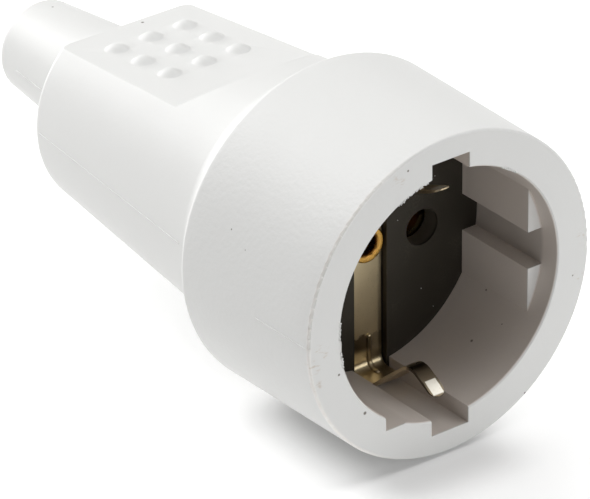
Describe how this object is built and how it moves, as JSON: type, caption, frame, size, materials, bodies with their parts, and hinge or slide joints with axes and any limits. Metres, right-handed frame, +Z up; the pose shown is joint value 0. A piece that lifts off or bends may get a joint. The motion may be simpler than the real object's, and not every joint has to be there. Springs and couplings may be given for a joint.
{
  "type": "inline socket connector",
  "caption": "Rewirable inline mains socket: round white sleeve with a keyed well, black contact insert, sprung side earth clips, tapered grip neck and cable tail.",
  "frame": {"origin": "centre of the mouth, on the axis of the well, in the plane of the front rim", "axes": "+X out of the mouth along the axis, +Z up through the top earth clip and the top grip pad, Y through the two pin holes"},
  "size_m": [0.1016, 0.052, 0.052],
  "materials": {
    "sleeve_white": "soft white moulded PVC, satin",
    "insert_black": "black moulded thermoset, satin",
    "contact_brass": "bare turned brass",
    "strap_nickel": "nickel-plated spring strip, polished",
    "screw_steel": "zinc-plated steel"
  },
  "bodies": {
    "root": {"body_sleeve": "sleeve_white", "contact_cap": "insert_black", "cord_clamp_bar": "insert_black", "cord_clamp_screw_left": "screw_steel", "cord_clamp_screw_right": "screw_steel", "earth_clamp_washer": "contact_brass", "earth_lug": "contact_brass", "earth_rivet": "contact_brass", "earth_strap": "strap_nickel", "earth_terminal_screw": "screw_steel", "insert_base": "insert_black", "live_contact": "contact_brass", "live_contact_spring": "screw_steel", "live_terminal_screw": "screw_steel", "neutral_contact": "contact_brass", "neutral_contact_spring": "screw_steel", "neutral_terminal_screw": "screw_steel"}
  },
  "joints": []
}
